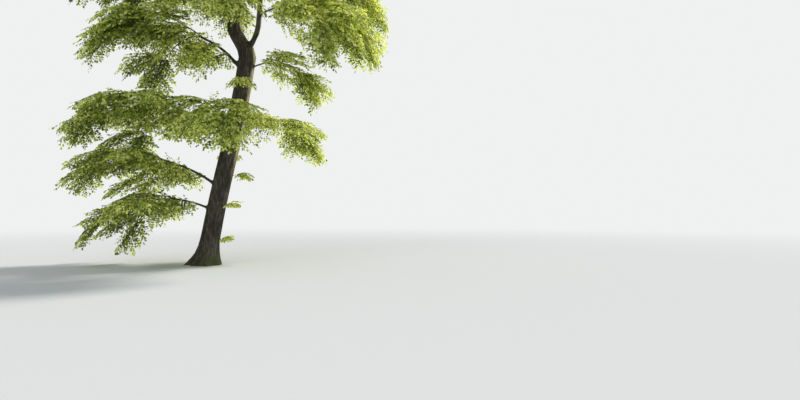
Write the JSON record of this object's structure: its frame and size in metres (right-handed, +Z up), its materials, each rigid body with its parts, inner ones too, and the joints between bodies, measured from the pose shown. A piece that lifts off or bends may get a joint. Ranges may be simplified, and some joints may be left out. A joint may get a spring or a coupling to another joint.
{
  "type": "forked broadleaf tree",
  "caption": "Tall broadleaf tree that leans and forks, with a buttressed root flare, a ridged crotch and drooping leaf sprays.",
  "frame": {"origin": "on the ground, at the middle of the bole where it meets the ground", "axes": "+Z up; +X the way the bole leans, to the right in the picture; +Y away from the picture's camera"},
  "size_m": [9.8579, 8.9025, 20.6353],
  "materials": {
    "trunk_bark": "rough dark grey-brown bark with moss at the foot",
    "limb_bark": "smooth grey-brown bark",
    "leaves": "thin fresh green leaves, satin above and paler below"
  },
  "bodies": {
    "root": {"root_flare": "trunk_bark", "bole": "trunk_bark", "fork": "trunk_bark", "main_stem": "limb_bark", "upper_stem": "limb_bark", "right_stem": "limb_bark", "low_left_limb": "limb_bark", "low_hang_limb": "limb_bark", "left_fan_limb": "limb_bark", "front_limb": "limb_bark", "back_low_limb": "limb_bark", "upper_left_limb": "limb_bark", "right_low_limb": "limb_bark", "fork_front_limb": "limb_bark", "left_high_limb": "limb_bark", "back_left_limb": "limb_bark", "right_near_limb": "limb_bark", "right_far_limb": "limb_bark", "right_front_limb": "limb_bark", "right_back_limb": "limb_bark", "crown_1_limb": "limb_bark", "crown_2_limb": "limb_bark", "crown_3_limb": "limb_bark", "crown_4_limb": "limb_bark", "crown_5_limb": "limb_bark", "crown_6_limb": "limb_bark", "crown_7_limb": "limb_bark", "crown_8_limb": "limb_bark", "crown_9_limb": "limb_bark", "crown_10_limb": "limb_bark", "main_top_limb": "limb_bark", "right_top_limb": "limb_bark", "low_left_leaves": "leaves", "low_hang_leaves": "leaves", "left_fan_leaves": "leaves", "front_leaves": "leaves", "back_low_leaves": "leaves", "upper_left_leaves": "leaves", "right_low_leaves": "leaves", "fork_front_leaves": "leaves", "left_high_leaves": "leaves", "back_left_leaves": "leaves", "right_near_leaves": "leaves", "right_far_leaves": "leaves", "right_front_leaves": "leaves", "right_back_leaves": "leaves", "crown_1_leaves": "leaves", "crown_2_leaves": "leaves", "crown_3_leaves": "leaves", "crown_4_leaves": "leaves", "crown_5_leaves": "leaves", "crown_6_leaves": "leaves", "crown_7_leaves": "leaves", "crown_8_leaves": "leaves", "crown_9_leaves": "leaves", "crown_10_leaves": "leaves", "main_top_leaves": "leaves", "right_top_leaves": "leaves", "shoot_leaves": "leaves"}
  },
  "joints": []
}
